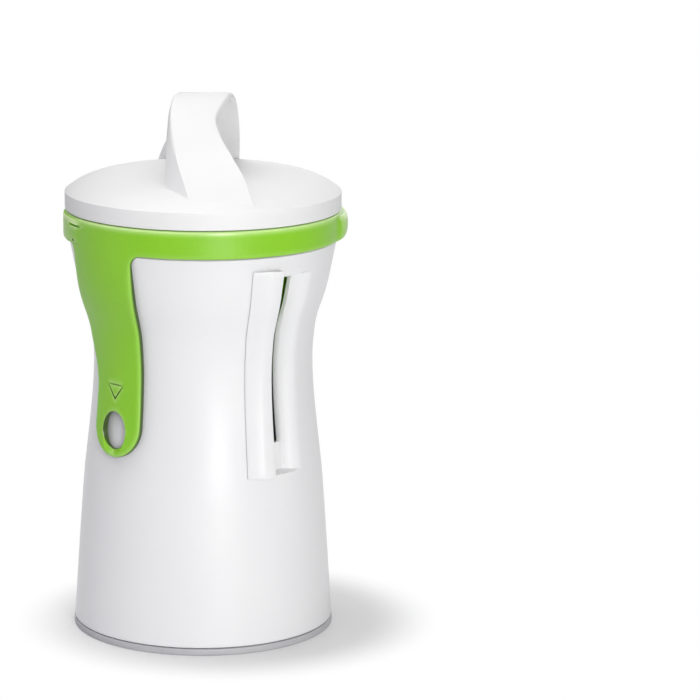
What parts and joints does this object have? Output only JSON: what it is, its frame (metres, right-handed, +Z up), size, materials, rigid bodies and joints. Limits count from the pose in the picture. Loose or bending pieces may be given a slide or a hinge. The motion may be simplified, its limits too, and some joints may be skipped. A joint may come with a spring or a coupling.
{
  "type": "hand spiralizer",
  "caption": "Hourglass hand spiralizer with a side outlet, a turning blade selector collar with a long leg, and a domed lid with a swirl grip.",
  "frame": {"origin": "on the axis of the body, at the plane the foot ring rests on", "axes": "+Z up along the body's axis, -Y towards the viewer of the picture, +X to the viewer's right"},
  "size_m": [0.0951, 0.0926, 0.1814],
  "materials": {
    "white_plastic": "glossy moulded white plastic with a cool cast",
    "green_plastic": "satin to glossy moulded lime green plastic",
    "foot_rubber": "matt grey elastomer foot",
    "blade_steel": "ground stainless steel",
    "screw_steel": "plain stainless screws",
    "prong_steel": "bright drawn stainless pins"
  },
  "bodies": {
    "body": {"body_shell": "white_plastic", "outlet_guard": "white_plastic", "base_ring": "foot_rubber", "drum_bearing": "white_plastic"},
    "selector": {"selector_collar": "green_plastic", "hopper": "green_plastic", "blade_ribbon": "blade_steel", "blade_julienne_fine": "blade_steel", "blade_julienne_coarse": "blade_steel", "comb_julienne_fine": "blade_steel", "comb_julienne_coarse": "blade_steel", "screw_ribbon_lower": "screw_steel", "screw_ribbon_upper": "screw_steel", "screw_julienne_fine_lower": "screw_steel", "screw_julienne_fine_upper": "screw_steel", "screw_julienne_coarse_lower": "screw_steel", "screw_julienne_coarse_upper": "screw_steel"},
    "lid_carrier": {"guide_ring": "white_plastic"},
    "lid": {"lid": "white_plastic", "holder_plate": "white_plastic", "plate_screw_1": "screw_steel", "plate_screw_2": "screw_steel", "plate_screw_3": "screw_steel", "prong_1": "prong_steel", "prong_2": "prong_steel", "prong_3": "prong_steel", "prong_4": "prong_steel", "prong_5": "prong_steel", "prong_6": "prong_steel", "prong_7": "prong_steel", "prong_8": "prong_steel", "centre_spike": "prong_steel"}
  },
  "joints": [
    {"name": "collar_turn", "type": "hinge", "parent": "body", "child": "selector", "pos_m": [0, 0, 0.135], "axis": [0, 0, 1], "range_deg": [-180, 0]},
    {"name": "lid_lift", "type": "slide", "parent": "selector", "child": "lid_carrier", "axis": [0, 0, 1], "range_m": [0, 0.06]},
    {"name": "lid_spin", "type": "hinge", "parent": "lid_carrier", "child": "lid", "pos_m": [0, 0, 0.1429], "axis": [0, 0, 1], "continuous": true}
  ]
}
